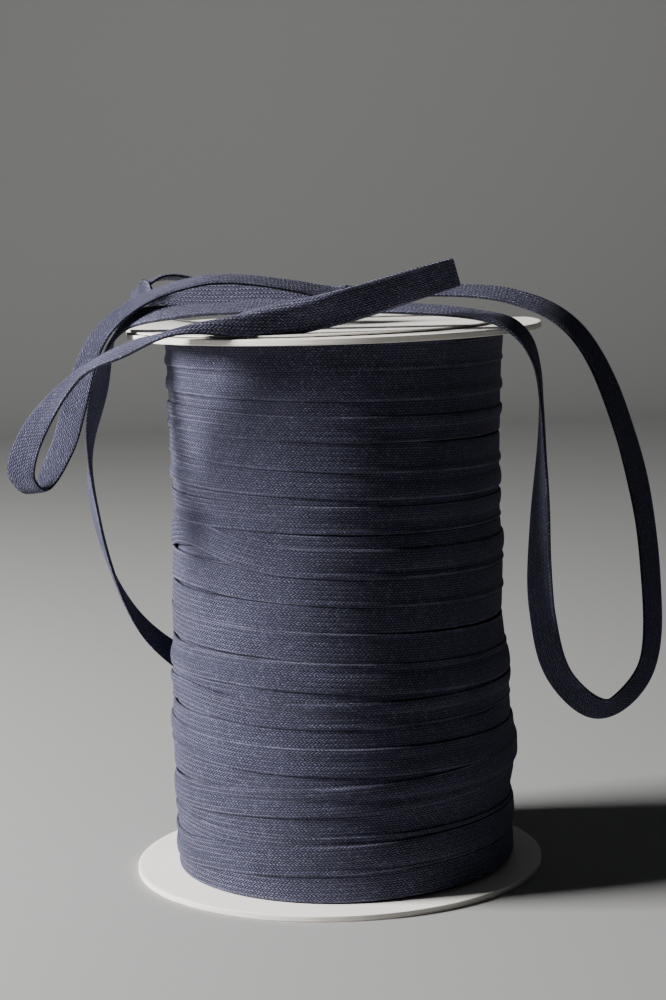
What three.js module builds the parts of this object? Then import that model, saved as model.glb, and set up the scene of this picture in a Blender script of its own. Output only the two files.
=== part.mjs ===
// A spool of flat braided drawstring cord: two round card flanges, the wound cord between
// them, and the loose end of the cord thrown over the top.
// Millimetres, +Z up. The origin is on the surface that the spool stands on, below the middle
// of its two flanges. The front of the spool faces -Y.

import * as THREE from "three";
import { mergeVertices } from "three/addons/utils/BufferGeometryUtils.js";

// Driving sizes

const FLANGE_RADIUS = 70;
const FLANGE_THICKNESS = 2;
const FLANGE_SHIFT = 1.6; // the lower flange sits this far to the left, the upper one to the right
const AXIS_X = 0.7; // the middle of the winding
const TOP_FLANGE_Z = 184;

const FACING_RADIUS = 61; // the thin card disc glued on top of the upper flange
const FACING_THICKNESS = 0.5;
const FACING_MIDDLE = [-6, -1.5];
const FACING_CLEARANCE = 0.4;

// The rim of the upper flange has come up a little at the back left
const CURL_HEIGHT = 3.5;
const CURL_START_RADIUS = 46;
const CURL_AZIMUTH = 165;
const CURL_HALF_ANGLE = 26;

const CORD_WIDTH = 10.8; // the loose end lies open, a little wider than the taut turns
const CORD_THICKNESS = 1.6;

// How the bundle swells and draws in: height, and its radius on the left and on the right side
const BODY = [
  { z: 184, left: 56.0, right: 57.8 },
  { z: 174, left: 55.6, right: 56.8 },
  { z: 163, left: 55.2, right: 56.2 },
  { z: 150, left: 55.6, right: 55.8 },
  { z: 128, left: 54.6, right: 55.0 },
  { z: 106, left: 56.2, right: 56.0 },
  { z: 88, left: 56.8, right: 55.2 },
  { z: 70, left: 57.4, right: 57.0 },
  { z: 50, left: 58.0, right: 57.6 },
  { z: 38, left: 58.0, right: 59.2 },
  { z: 28, left: 57.4, right: 57.0 },
  { z: 2, left: 57.6, right: 57.8 },
];

// The outer turns from top to bottom. top and foot are the edges of a turn at the front, lean
// is how much higher it runs on the right side than at the front, and proud is how far it
// stands out from the bundle. Where two turns meet, the one that stands out more lies on top.
const TURNS = [
  { top: 183.7, foot: 174.9, lean: -1.4, proud: 1.2 },
  { top: 175.4, foot: 165.1, lean: -1.5, proud: 0.8 },
  { top: 168.0, foot: 158.0, lean: -2.0, proud: -0.5 },
  { top: 160.5, foot: 152.5, lean: -2.0, proud: 1.1 },
  { top: 152.3, foot: 142.2, lean: -3.0, proud: 0.6 },
  { top: 143.9, foot: 133.9, lean: -2.8, proud: 0.3 },
  { top: 138.0, foot: 128.0, lean: -2.2, proud: -0.8 },
  { top: 131.6, foot: 122.5, lean: -2.0, proud: 0.9 },
  { top: 122.3, foot: 112.0, lean: -1.6, proud: -0.2 },
  { top: 118.1, foot: 108.3, lean: -2.5, proud: 0.8 },
  { top: 109.4, foot: 99.4, lean: -3.2, proud: 0.4 },
  { top: 99.9, foot: 90.7, lean: -2.8, proud: 0.1 },
  { top: 91.2, foot: 80.9, lean: -3.4, proud: 0.3 },
  { top: 81.2, foot: 71.2, lean: -3.0, proud: 0.7 },
  { top: 76.0, foot: 66.0, lean: -1.5, proud: -0.6 },
  { top: 68.4, foot: 59.6, lean: -0.6, proud: 0.8 },
  { top: 59.9, foot: 50.0, lean: -1.0, proud: 0.0 },
  { top: 53.7, foot: 44.2, lean: -1.4, proud: 0.9 },
  { top: 48.0, foot: 38.0, lean: 0.6, proud: -0.7 },
  { top: 41.4, foot: 30.9, lean: 2.6, proud: 1.2 },
  { top: 34.0, foot: 24.0, lean: 0.8, proud: -0.8 },
  { top: 24.6, foot: 15.0, lean: 0.6, proud: -0.1 },
  { top: 21.6, foot: 11.5, lean: 2.2, proud: 0.8 },
  { top: 12.0, foot: 2.3, lean: 1.2, proud: 0.3 },
];
const WINDING_TOP = 183.7;
const WINDING_FOOT = 2.3;
const EDGE_ROUNDING = 0.45; // how far a turn's edges fall back from its middle
const EDGE_STEP = 0.22; // half of the height over which one turn steps to the next
const LEAST_TURN = 1.3; // the least height that shows of a turn

// The route of the loose end: points of its middle line, and the way its outer face looks
// there, as a direction round the spool (0 is +X, 90 is +Y) and an angle above the horizontal.
const LOOSE_END = [
  { x: -4, y: 60.2, z: 47, azimuth: 95, rise: 0 },
  { x: -34, y: 54, z: 50.5, azimuth: 113, rise: -5 },
  { x: -69.9, y: 35, z: 78.3, azimuth: 168, rise: -28 },
  { x: -83.6, y: 15, z: 126, azimuth: 196, rise: -10 },
  { x: -79, y: -4, z: 164, azimuth: 152, rise: 10 },
  { x: -69, y: -15, z: 188.2, azimuth: 203, rise: 46 },
  { x: -47, y: -27, z: 193.5, azimuth: 250, rise: 69 },
  { x: 46, y: -41.5, z: 190.8, azimuth: 290, rise: 76 },
  { x: 59, y: -45.3, z: 186.1, azimuth: 318, rise: 50 },
  { x: 65.8, y: -45.5, z: 174.5, azimuth: 345, rise: 22 },
  { x: 67, y: -37.5, z: 92.5, azimuth: 409, rise: 11 },
  { x: 73.5, y: -32, z: 69, azimuth: 418, rise: 27 },
  { x: 88, y: -25, z: 56.6, azimuth: 455, rise: 42 },
  { x: 103, y: -16, z: 67, azimuth: 498, rise: 8 },
  { x: 107, y: -4, z: 101, azimuth: 493, rise: -10 },
  { x: 100.5, y: 8.5, z: 146.5, azimuth: 496, rise: -19 },
  { x: 84.5, y: 16.6, z: 181.7, azimuth: 486, rise: -50 },
  { x: 63.4, y: 20.5, z: 193, azimuth: 472, rise: -62 },
  { x: 8, y: 27, z: 196.6, azimuth: 452, rise: -76 },
  { x: -33, y: 26, z: 198.6, azimuth: 455, rise: -92 },
  { x: -57, y: 21, z: 203.2, azimuth: 455, rise: -96 },
  { x: -65.8, y: 17, z: 198.4, azimuth: 385, rise: -20 },
  { x: -44, y: 7.5, z: 197, azimuth: 264, rise: 40 },
  { x: -12, y: 0.5, z: 196.2, azimuth: 272, rise: 38 },
  { x: 2, y: -4, z: 192.4, azimuth: 258, rise: 62 },
  { x: 6.8, y: -6, z: 192.8, azimuth: 215, rise: 30 },
  { x: 6.8, y: -8.6, z: 195.4, azimuth: 145, rise: -30 },
  { x: 2, y: -10.2, z: 196.8, azimuth: 102, rise: -66 },
  { x: -42, y: -16, z: 203, azimuth: 78, rise: -78 },
  { x: -74, y: -19.5, z: 188, azimuth: 50, rise: -52 },
  { x: -88.9, y: -30, z: 149.2, azimuth: 52, rise: -33 },
  { x: -96.3, y: -38, z: 137.3, azimuth: 10, rise: -75 },
  { x: -100.6, y: -41.5, z: 142, azimuth: 240, rise: -40 },
  { x: -97.4, y: -45, z: 154, azimuth: 233, rise: 10 },
  { x: -79.4, y: -51, z: 175.7, azimuth: 228, rise: 68 },
  { x: -63.1, y: -56, z: 184, azimuth: 245, rise: 66 },
  { x: -46.7, y: -58.5, z: 189, azimuth: 262, rise: 76 },
  { x: -25.4, y: -58, z: 191.5, azimuth: 268, rise: 48 },
  { x: -2, y: -54.5, z: 193.6, azimuth: 276, rise: 4 },
  { x: 41, y: -45, z: 204.5, azimuth: 284, rise: -22 },
];
const STEPS_PER_POINT = 2;
const SECTION_SIDES = 8;

// Finishes

const card = new THREE.MeshStandardMaterial({ color: 0xe9e5df, roughness: 0.85, metalness: 0 });
const braid = new THREE.MeshStandardMaterial({ color: 0x3f4352, roughness: 0.9, metalness: 0 });

// Shared helpers

const smooth = (t) => {
  const clamped = Math.min(Math.max(t, 0), 1);
  return clamped * clamped * (3 - 2 * clamped);
};

// A closed surface from rings of points that run from one pole to the other
function closedRings(rings, firstPole, lastPole) {
  const count = rings[0].length;
  const positions = [...firstPole, ...rings.flat(2), ...lastPole];
  const faces = [];
  const at = (ring, k) => 1 + ring * count + (k % count);
  const last = 1 + rings.length * count;
  for (let k = 0; k < count; k += 1) {
    faces.push(0, at(0, k), at(0, k + 1));
    for (let ring = 0; ring + 1 < rings.length; ring += 1) {
      faces.push(at(ring, k), at(ring + 1, k), at(ring + 1, k + 1));
      faces.push(at(ring, k), at(ring + 1, k + 1), at(ring, k + 1));
    }
    faces.push(at(rings.length - 1, k), last, at(rings.length - 1, k + 1));
  }
  const geometry = new THREE.BufferGeometry();
  geometry.setAttribute("position", new THREE.Float32BufferAttribute(positions, 3));
  geometry.setIndex(faces);
  return geometry;
}

function named(name, geometry, material) {
  const mesh = new THREE.Mesh(geometry, material);
  mesh.name = name;
  return mesh;
}

// Card discs

// How far the curled rim lifts the card at a point: it grows from nothing at a radius inside
// the rim, and fades out to both sides of its direction as half a cosine wave
function curl(x, y) {
  const radius = Math.hypot(x - FLANGE_SHIFT, y);
  const out = smooth((radius - CURL_START_RADIUS) / (FLANGE_RADIUS - CURL_START_RADIUS));
  const azimuth = THREE.MathUtils.radToDeg(Math.atan2(y, x - FLANGE_SHIFT));
  const aside = THREE.MathUtils.euclideanModulo(azimuth - CURL_AZIMUTH + 180, 360) - 180;
  const across = Math.cos((Math.min(Math.abs(aside) / CURL_HALF_ANGLE, 1) * Math.PI) / 2);
  return CURL_HEIGHT * out * across * across;
}

// A disc as a lathe of its section, then lifted where the rim curls
function curledDisc(radius, thickness, middle, z, radii, segments) {
  const profile = [
    ...radii.map((r) => new THREE.Vector2(r, 0)),
    new THREE.Vector2(radius, 0),
    new THREE.Vector2(radius, thickness),
    ...radii.toReversed().map((r) => new THREE.Vector2(r, thickness)),
  ];
  const geometry = new THREE.LatheGeometry(profile, segments);
  geometry.rotateX(Math.PI / 2);
  geometry.translate(middle[0], middle[1], z);
  geometry.deleteAttribute("normal");
  geometry.deleteAttribute("uv");
  const merged = mergeVertices(geometry, 1e-4);
  const position = merged.attributes.position;
  for (let i = 0; i < position.count; i += 1) {
    position.setZ(i, position.getZ(i) + curl(position.getX(i), position.getY(i)));
  }
  return merged;
}

function bottomFlange() {
  const geometry = new THREE.CylinderGeometry(FLANGE_RADIUS, FLANGE_RADIUS, FLANGE_THICKNESS, 72);
  geometry.rotateX(Math.PI / 2);
  geometry.translate(-FLANGE_SHIFT, 0, FLANGE_THICKNESS / 2);
  return geometry;
}

function topFlange() {
  const radii = [0, 30, 46, 54, 60, 65];
  return curledDisc(FLANGE_RADIUS, FLANGE_THICKNESS, [FLANGE_SHIFT, 0], TOP_FLANGE_Z, radii, 72);
}

function topFacing() {
  const z = TOP_FLANGE_Z + FLANGE_THICKNESS + FACING_CLEARANCE;
  return curledDisc(FACING_RADIUS, FACING_THICKNESS, FACING_MIDDLE, z, [0, 24, 38, 46, 51, 56], 72);
}

// The winding

// Radius of the bundle at a height and a direction, between the table's rows
function bodyRadius(z, azimuth) {
  const below = BODY.findIndex((row) => row.z <= z);
  const low = BODY[below === -1 ? BODY.length - 1 : below];
  const high = BODY[Math.max(below === -1 ? BODY.length - 1 : below - 1, 0)];
  const t = high.z > low.z ? smooth((z - low.z) / (high.z - low.z)) : 0;
  const left = THREE.MathUtils.lerp(low.left, high.left, t);
  const right = THREE.MathUtils.lerp(low.right, high.right, t);
  return THREE.MathUtils.lerp(left, right, (1 + Math.cos(azimuth)) / 2);
}

// Heights where one turn gives way to the next, from the top down, at one direction
function turnBounds(azimuth) {
  const rise = (turn) => turn.lean * Math.cos(azimuth);
  const bounds = [WINDING_TOP];
  for (let i = 0; i + 1 < TURNS.length; i += 1) {
    const upper = TURNS[i];
    const lower = TURNS[i + 1];
    const edge = upper.proud >= lower.proud ? upper.foot + rise(upper) : lower.top + rise(lower);
    bounds.push(Math.min(edge, bounds[i] - LEAST_TURN));
  }
  return [...bounds, WINDING_FOOT];
}

function winding(columns = 48) {
  const rings = TURNS.flatMap(() => [[], [], []]);
  for (let k = 0; k < columns; k += 1) {
    const azimuth = (k / columns) * 2 * Math.PI;
    const bounds = turnBounds(azimuth);
    TURNS.forEach((turn, i) => {
      const top = bounds[i] - (i === 0 ? 0 : EDGE_STEP);
      const foot = bounds[i + 1] + (i + 1 === TURNS.length ? 0 : EDGE_STEP);
      const rows = [
        { z: top, back: EDGE_ROUNDING },
        { z: (top + foot) / 2, back: 0 },
        { z: foot, back: EDGE_ROUNDING },
      ];
      rows.forEach((row, j) => {
        const radius = bodyRadius(row.z, azimuth) + turn.proud - row.back;
        const x = AXIS_X + radius * Math.cos(azimuth);
        rings[3 * i + j].push([x, radius * Math.sin(azimuth), row.z]);
      });
    });
  }
  return closedRings(rings, [AXIS_X, 0, WINDING_TOP], [AXIS_X, 0, WINDING_FOOT]);
}

// The loose end

// The cord's section, a flat oval, as offsets across the face and through the thickness
function cordSection() {
  const section = [];
  for (let k = 0; k < SECTION_SIDES; k += 1) {
    const angle = ((k + 0.5) / SECTION_SIDES) * 2 * Math.PI;
    const across = Math.sign(Math.cos(angle)) * Math.abs(Math.cos(angle)) ** 0.35;
    const through = Math.sign(Math.sin(angle)) * Math.abs(Math.sin(angle)) ** 0.5;
    section.push([across, through]);
  }
  const widest = Math.max(...section.map(([across]) => across));
  const deepest = Math.max(...section.map(([, through]) => through));
  return section.map(([across, through]) => [
    (across / widest) * (CORD_WIDTH / 2),
    (through / deepest) * (CORD_THICKNESS / 2),
  ]);
}

function looseEnd() {
  const points = LOOSE_END.map((row) => new THREE.Vector3(row.x, row.y, row.z));
  const faces = LOOSE_END.map((row) => {
    const azimuth = THREE.MathUtils.degToRad(row.azimuth);
    const rise = THREE.MathUtils.degToRad(row.rise);
    const flat = Math.cos(rise);
    return new THREE.Vector3(Math.cos(azimuth) * flat, Math.sin(azimuth) * flat, Math.sin(rise));
  });
  const middle = new THREE.CatmullRomCurve3(points, false, "centripetal");
  const facing = new THREE.CatmullRomCurve3(faces, false, "catmullrom", 0.5);
  const steps = (LOOSE_END.length - 1) * STEPS_PER_POINT;
  const section = cordSection();
  const rings = [];
  const centres = [];
  for (let i = 0; i <= steps; i += 1) {
    const t = i / steps;
    const centre = middle.getPoint(t);
    const along = middle.getTangent(t);
    const face = facing.getPoint(t);
    face.addScaledVector(along, -face.dot(along)).normalize();
    const width = new THREE.Vector3().crossVectors(along, face);
    centres.push(centre.toArray());
    rings.push(
      section.map(([across, through]) =>
        centre.clone().addScaledVector(width, across).addScaledVector(face, through).toArray(),
      ),
    );
  }
  return closedRings(rings, centres[0], centres.at(-1));
}

// The finished spool

const spool = new THREE.Group();
spool.add(
  named("flange_bottom", bottomFlange(), card),
  named("winding", winding(), braid),
  named("flange_top", topFlange(), card),
  named("top_facing", topFacing(), card),
  named("loose_end", looseEnd(), braid),
);

export default spool;
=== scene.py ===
# %% [markdown]
# # A spool of flat drawstring cord
# The object is about a hundred metres of flat braid, ten millimetres wide, wound between two
# round card flanges. Its loose end leaves the winding at the back, climbs over the top flange,
# hangs in one long loop at the right, comes back, folds twice on top, hangs in a short loop at
# the left and ends in a plain cut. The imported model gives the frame: every piece made here goes
# where its solids are, in metres, with +Z up and the front of the spool towards -Y.

# %% Load the frame
import math

import bpy
import numpy as np
from mathutils import Matrix


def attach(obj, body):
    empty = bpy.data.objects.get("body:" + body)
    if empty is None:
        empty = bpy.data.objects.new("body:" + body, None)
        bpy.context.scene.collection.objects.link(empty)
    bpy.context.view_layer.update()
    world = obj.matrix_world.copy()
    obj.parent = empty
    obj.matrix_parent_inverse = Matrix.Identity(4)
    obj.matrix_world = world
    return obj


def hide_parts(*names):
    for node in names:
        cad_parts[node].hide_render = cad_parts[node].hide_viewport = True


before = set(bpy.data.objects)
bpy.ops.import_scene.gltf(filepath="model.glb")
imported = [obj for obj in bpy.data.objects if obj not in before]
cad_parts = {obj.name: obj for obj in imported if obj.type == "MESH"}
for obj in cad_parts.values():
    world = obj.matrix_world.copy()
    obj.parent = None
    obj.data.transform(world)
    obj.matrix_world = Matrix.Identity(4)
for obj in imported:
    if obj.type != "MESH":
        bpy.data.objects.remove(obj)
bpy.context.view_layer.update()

MM = 0.001

# %% [markdown]
# ## The camera
# The photograph is taken from a little above the top flange, from about 0.8 m away, with the
# spool's right side a touch high in the picture. A camera could be aimed with a constraint, but
# its place, its downward pitch and its small roll are all known here, so its axes are written
# out and turned into a rotation.

# %% Camera
CAMERA_PLACE = (-0.0004, -0.7906, 0.2309)
CAMERA_PITCH = math.radians(7.52)
CAMERA_ROLL = math.radians(1.68)
CAMERA_LENS = 84.1


def camera_axes(pitch, roll):
    """Right, up and back of a camera that looks along +Y, dips by pitch and then rolls: the
    level right and the dipped up are each turned by the roll in the picture's plane."""
    level_right = np.array([1.0, 0.0, 0.0])
    ahead = np.array([0.0, math.cos(pitch), -math.sin(pitch)])
    dipped_up = np.cross(level_right, ahead)
    right = level_right * math.cos(roll) - dipped_up * math.sin(roll)
    up = level_right * math.sin(roll) + dipped_up * math.cos(roll)
    return np.column_stack([right, up, -ahead])


def placed(axes, place):
    """The matrix of an object whose axes are the columns of axes, at a place."""
    rows = np.column_stack([axes, place]).tolist()
    return Matrix([*rows, [0, 0, 0, 1]])


def linked(name, data):
    """A new object in the scene that shows this data."""
    thing = bpy.data.objects.new(name, data)
    bpy.context.collection.objects.link(thing)
    return thing


camera = linked("camera", bpy.data.cameras.new("camera"))
camera.data.lens = CAMERA_LENS
axes = camera_axes(CAMERA_PITCH, CAMERA_ROLL)
camera.matrix_world = placed(axes, CAMERA_PLACE)
bpy.context.scene.camera = camera
print("camera looks along", np.round(-axes[:, 2], 3))

# %% [markdown]
# ## Surfaces from grids
# Everything here is a bent or wrapped sheet of points: a ribbon is a closed section carried
# along a path, and a disc is a profile carried round an axis. Both are one grid of points with
# rows and columns, so one function turns a grid into a mesh. It could be done with curve bevels
# or Spin, but a grid keeps a clean map of the surface: the map's first number runs along the
# cord and its second one runs round it, both in metres, and the braid's pattern follows them.

# %% Grid to mesh
CORD_MAP = "cord_map"
EDGE_WEAR_AND_SHADE = "edge_wear_and_shade"


def wrapped(grid, closed):
    """The grid's index table with the first row or column repeated after the last one."""
    return np.concatenate([grid, grid[:1]]) if closed else grid


def grid_piece(name, points, along, around, edge, closed_along=False):
    """A solid from points[row, column, xyz]. Columns always close on themselves, and rows close
    too or get a flat cap at each end. Quad (r, c) joins rows r and r + 1 and columns c and
    c + 1. along and around give the map at each row and column, with one more value than
    points where that direction closes. edge says how close each column is to the cord's edge,
    from 0 to 1, and is kept for the finish."""
    rows, columns = points.shape[:2]
    index = wrapped(np.arange(rows * columns).reshape(rows, columns), closed_along)
    index = wrapped(index.T, True).T
    quads = np.stack([index[:-1, :-1], index[1:, :-1], index[1:, 1:], index[:-1, 1:]], -1)
    u, v = np.meshgrid(along, around, indexing="ij")
    place = np.stack([u, v], -1)
    uv = np.stack([place[:-1, :-1], place[1:, :-1], place[1:, 1:], place[:-1, 1:]], 2)
    faces = quads.reshape(-1, 4).tolist()
    corners = [uv.reshape(-1, 2)]
    if not closed_along:
        faces += [list(range(columns))[::-1], list(range((rows - 1) * columns, rows * columns))]
        flat_map = np.stack([np.full(columns, along[0]), np.asarray(around)[:columns]], -1)
        corners += [flat_map[::-1], flat_map + [along[-1] - along[0], 0]]
    mesh = bpy.data.meshes.new(name)
    mesh.from_pydata(points.reshape(-1, 3), [], faces)
    mesh.uv_layers.new(name=CORD_MAP).uv.foreach_set("vector", np.concatenate(corners).ravel())
    return finished(name, mesh, EDGE_WEAR_AND_SHADE, np.tile(np.asarray(edge, float), rows))


def finished(name, mesh, attribute, values):
    """The mesh as an object in the scene, with its faces outwards, shaded smooth, and with one
    number stored at each point under the attribute's name."""
    if signed_volume(mesh) < 0:
        mesh.flip_normals()
    mesh.polygons.foreach_set("use_smooth", np.ones(len(mesh.polygons), bool))
    mesh.attributes.new(attribute, "FLOAT", "POINT").data.foreach_set("value", values)
    return linked(name, mesh)


def signed_volume(mesh):
    """Six times the volume is the sum over triangles of a . (b x c): it is positive where the
    faces point outwards."""
    mesh.calc_loop_triangles()
    triangles = np.empty(len(mesh.loop_triangles) * 3, np.int32)
    mesh.loop_triangles.foreach_get("vertices", triangles)
    places = np.empty(len(mesh.vertices) * 3)
    mesh.vertices.foreach_get("co", places)
    a, b, c = places.reshape(-1, 3)[triangles.reshape(-1, 3)].transpose(1, 0, 2)
    return float((a * np.cross(b, c)).sum() / 6)


# %% [markdown]
# ## The loose end's route
# A cord that shows from end to end has the length that the photograph shows. Its route is a
# list of given points, the same ones that the solid model has, each with the direction in which
# the cord's outer face looks there. A curve object with tilt could hold this, but the flat cord
# twists a lot where it folds, so the middle line and the facing direction are both run through
# the same points as smooth curves, and the width is square to the two.

# %% Route of the loose end
# Middle line in metres, then the outer face's direction round the spool and above the horizon
LOOSE_END = [
    (-0.0040, 0.0602, 0.0470, 95, 0),
    (-0.0340, 0.0540, 0.0505, 113, -5),
    (-0.0699, 0.0350, 0.0783, 168, -28),
    (-0.0836, 0.0150, 0.1260, 196, -10),
    (-0.0790, -0.0040, 0.1640, 152, 10),
    (-0.0690, -0.0150, 0.1882, 203, 46),
    (-0.0470, -0.0270, 0.1935, 250, 69),
    (0.0460, -0.0415, 0.1908, 290, 76),
    (0.0590, -0.0453, 0.1861, 318, 50),
    (0.0658, -0.0455, 0.1745, 345, 22),
    (0.0670, -0.0375, 0.0925, 409, 11),
    (0.0735, -0.0320, 0.0690, 418, 27),
    (0.0880, -0.0250, 0.0566, 455, 42),
    (0.1030, -0.0160, 0.0670, 498, 8),
    (0.1070, -0.0040, 0.1010, 493, -10),
    (0.1005, 0.0085, 0.1465, 496, -19),
    (0.0845, 0.0166, 0.1817, 486, -50),
    (0.0634, 0.0205, 0.1930, 472, -62),
    (0.0080, 0.0270, 0.1966, 452, -76),
    (-0.0330, 0.0260, 0.1986, 455, -92),
    (-0.0570, 0.0210, 0.2032, 455, -96),
    (-0.0658, 0.0170, 0.1984, 385, -20),
    (-0.0440, 0.0075, 0.1970, 264, 40),
    (-0.0120, 0.0005, 0.1962, 272, 38),
    (0.0020, -0.0040, 0.1924, 258, 62),
    (0.0068, -0.0060, 0.1928, 215, 30),
    (0.0068, -0.0086, 0.1954, 145, -30),
    (0.0020, -0.0102, 0.1968, 102, -66),
    (-0.0420, -0.0160, 0.2030, 78, -78),
    (-0.0740, -0.0195, 0.1880, 50, -52),
    (-0.0889, -0.0300, 0.1492, 52, -33),
    (-0.0963, -0.0380, 0.1373, 10, -75),
    (-0.1006, -0.0415, 0.1420, 240, -40),
    (-0.0974, -0.0450, 0.1540, 233, 10),
    (-0.0794, -0.0510, 0.1757, 228, 68),
    (-0.0631, -0.0560, 0.1840, 245, 66),
    (-0.0467, -0.0585, 0.1890, 262, 76),
    (-0.0254, -0.0580, 0.1915, 268, 48),
    (-0.0020, -0.0545, 0.1936, 276, 4),
    (0.0410, -0.0450, 0.2045, 284, -22),
]
ROUTE = np.array(LOOSE_END)


def smooth_through(points, steps, power):
    """A curve through all points, as cubic pieces. The slope at a point comes from its two
    neighbours, weighed by the gaps between them to this power: 0 spaces the points evenly, and
    0.5 keeps the curve tight where they crowd."""
    ends = [2 * points[:1] - points[1:2], points, 2 * points[-1:] - points[-2:-1]]
    p0, p1, p2, p3 = (np.concatenate(ends)[k : len(points) - 1 + k] for k in range(4))
    d0, d1, d2 = (
        np.linalg.norm(b - a, axis=1)[:, None] ** power for a, b in ((p0, p1), (p1, p2), (p2, p3))
    )
    slope1 = ((p1 - p0) / d0 - (p2 - p0) / (d0 + d1) + (p2 - p1) / d1) * d1
    slope2 = ((p2 - p1) / d1 - (p3 - p1) / (d1 + d2) + (p3 - p2) / d2) * d1
    t = (np.arange(steps) / steps)[:, None, None]
    bend = -3 * p1 + 3 * p2 - 2 * slope1 - slope2
    close = 2 * p1 - 2 * p2 + slope1 + slope2
    pieces = p1 + t * slope1 + t**2 * bend + t**3 * close
    return np.concatenate([pieces.transpose(1, 0, 2).reshape(-1, points.shape[1]), points[-1:]])


def unit(vectors):
    """Vectors of length one along the last axis."""
    return vectors / np.linalg.norm(vectors, axis=-1, keepdims=True)


def directions(azimuth, rise):
    """Unit vectors from angles in degrees: cos rise times the heading, and sin rise upwards."""
    a, e = np.radians(azimuth), np.radians(rise)
    return np.stack([np.cos(a) * np.cos(e), np.sin(a) * np.cos(e), np.sin(e)], -1)


def even_steps(line, step, *more):
    """The line and the arrays beside it, sampled again at even steps of length."""
    length = np.concatenate([[0], np.cumsum(np.linalg.norm(np.diff(line, axis=0), axis=1))])
    at = np.linspace(0, length[-1], int(round(length[-1] / step)) + 1)
    pick = [np.stack([np.interp(at, length, c) for c in array.T], -1) for array in (line, *more)]
    return at, *pick


CORD_STEP = 1.3 * MM
FINE_STEPS = 40
TIGHT, EVEN = 0.5, 0.0
fine_line = smooth_through(ROUTE[:, :3], FINE_STEPS, TIGHT)
fine_face = smooth_through(directions(ROUTE[:, 3], ROUTE[:, 4]), FINE_STEPS, EVEN)
end_along, end_line, end_face = even_steps(fine_line, CORD_STEP, fine_face)
end_heading = unit(np.gradient(end_line, axis=0))
end_face = unit(end_face - (end_face * end_heading).sum(1, keepdims=True) * end_heading)
end_width = np.cross(end_heading, end_face)
print("loose end: length", round(end_along[-1], 4), "m in", len(end_along), "steps")

# %% [markdown]
# ## The cord's section
# Flat drawstring is a braided tube pressed flat: two faces with shallow ribs where the yarns
# run, and round, soft edges. It is ten millimetres wide where it is wound tight and a little
# wider where it lies free. A flattened circle would be too lens-shaped, so the half thickness
# follows a superellipse, which stays nearly level and then falls quickly at the edges.

# %% Section
CORD_WIDTH = 10.8 * MM
TURN_WIDTH = 10 * MM
CORD_THICKNESS = 1.5 * MM
RIB_COUNT = 9
RIB_HEIGHT = 0.05 * MM
EDGE_POWER = 7
EDGE_CROWDING = 0.45
SECTION_PLACES = 26


def face_profile(across):
    """Half thickness at a place across the cord from -1 to 1: the square root of one minus a
    high power, less a shallow groove between the ribs."""
    body = np.sqrt(np.clip(1 - np.abs(across) ** EDGE_POWER, 0, None)) * CORD_THICKNESS / 2
    groove = RIB_HEIGHT * (1 - np.abs(np.cos(across * RIB_COUNT * math.pi / 2)))
    return np.maximum(body - groove * (body > 2 * RIB_HEIGHT), 0)


def across_places(count):
    """Places from -1 to 1 that crowd towards both edges: a blend of even steps and the sine of
    even steps."""
    even = np.linspace(-1, 1, count)
    return (1 - EDGE_CROWDING) * even + EDGE_CROWDING * np.sin(even * math.pi / 2)


def closed_section(count):
    """Offsets across and through the cord, once round it: the outer face from one edge to the
    other, then the inner face back."""
    there = across_places(count)
    back = there[::-1][1:-1]
    across = np.concatenate([there, back])
    through = np.concatenate([face_profile(there), -face_profile(back)])
    return across * CORD_WIDTH / 2, through


def girth(section_across, section_through):
    """Distance round the section at each of its points, and once more at the start."""
    loop = np.stack([np.append(section_across, section_across[0]),
                     np.append(section_through, section_through[0])], -1)
    return np.concatenate([[0], np.cumsum(np.linalg.norm(np.diff(loop, axis=0), axis=1))])


across, through = closed_section(SECTION_PLACES)
print("section:", len(across), "points, girth", round(girth(across, through)[-1] * 1000, 1), "mm")

# %% [markdown]
# ## Play in the loose end
# Real cord is never quite even, so its width, its rotation and its cup vary slowly along it by
# small amounts. A noise texture could move the points, but a few sine waves of unlike lengths
# give the same result each time and never jump. Each wave set below is its lengths in metres
# and its phases.

# %% Slow waves
WIDTH_PLAY = 0.02
TWIST_PLAY = math.radians(2.5)
CUP_PLAY = 0.25 * MM
CUP_LEVEL = 0.4
WIDTH_WAVES = ((0.043, 0.029), (1.0, 3.0))
TWIST_WAVES = ((0.057, 0.083, 0.131), (0.3, 1.9, 4.0))
CUP_WAVES = ((0.071, 0.113, 0.047), (2.2, 0.4, 5.1))


def slow_waves(along, lengths, phases):
    """A sum of sine waves of the given lengths, scaled to about one."""
    waves = [np.sin(along / length * 2 * math.pi + p) for length, p in zip(lengths, phases)]
    return sum(waves) / len(waves) ** 0.5


def smooth_step(t):
    """Three t squared less two t cubed, held at 0 and 1 outside."""
    t = np.clip(t, 0, 1)
    return t * t * (3 - 2 * t)


print("widest twist", round(math.degrees(TWIST_PLAY) * len(TWIST_WAVES[0]) ** 0.5, 1), "degrees")

# %% [markdown]
# ## The slanting crease
# The last stretch had been folded aslant once, and a soft crease still runs over it from its
# lower to its upper edge: above it the cord looks up, and below it the cord looks down. Turning
# the whole section can't show both, so the section itself is bent over a ridge that wanders.

# %% Crease
# How far before the end it starts and stops, its steepest slope and its roundness
CREASE_FROM, CREASE_TO = 112 * MM, 28 * MM
CREASE_SLOPE = 0.85
CREASE_ROUND = 0.9 * MM
CREASE_RISE, CREASE_FALL = 2, 3


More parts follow.
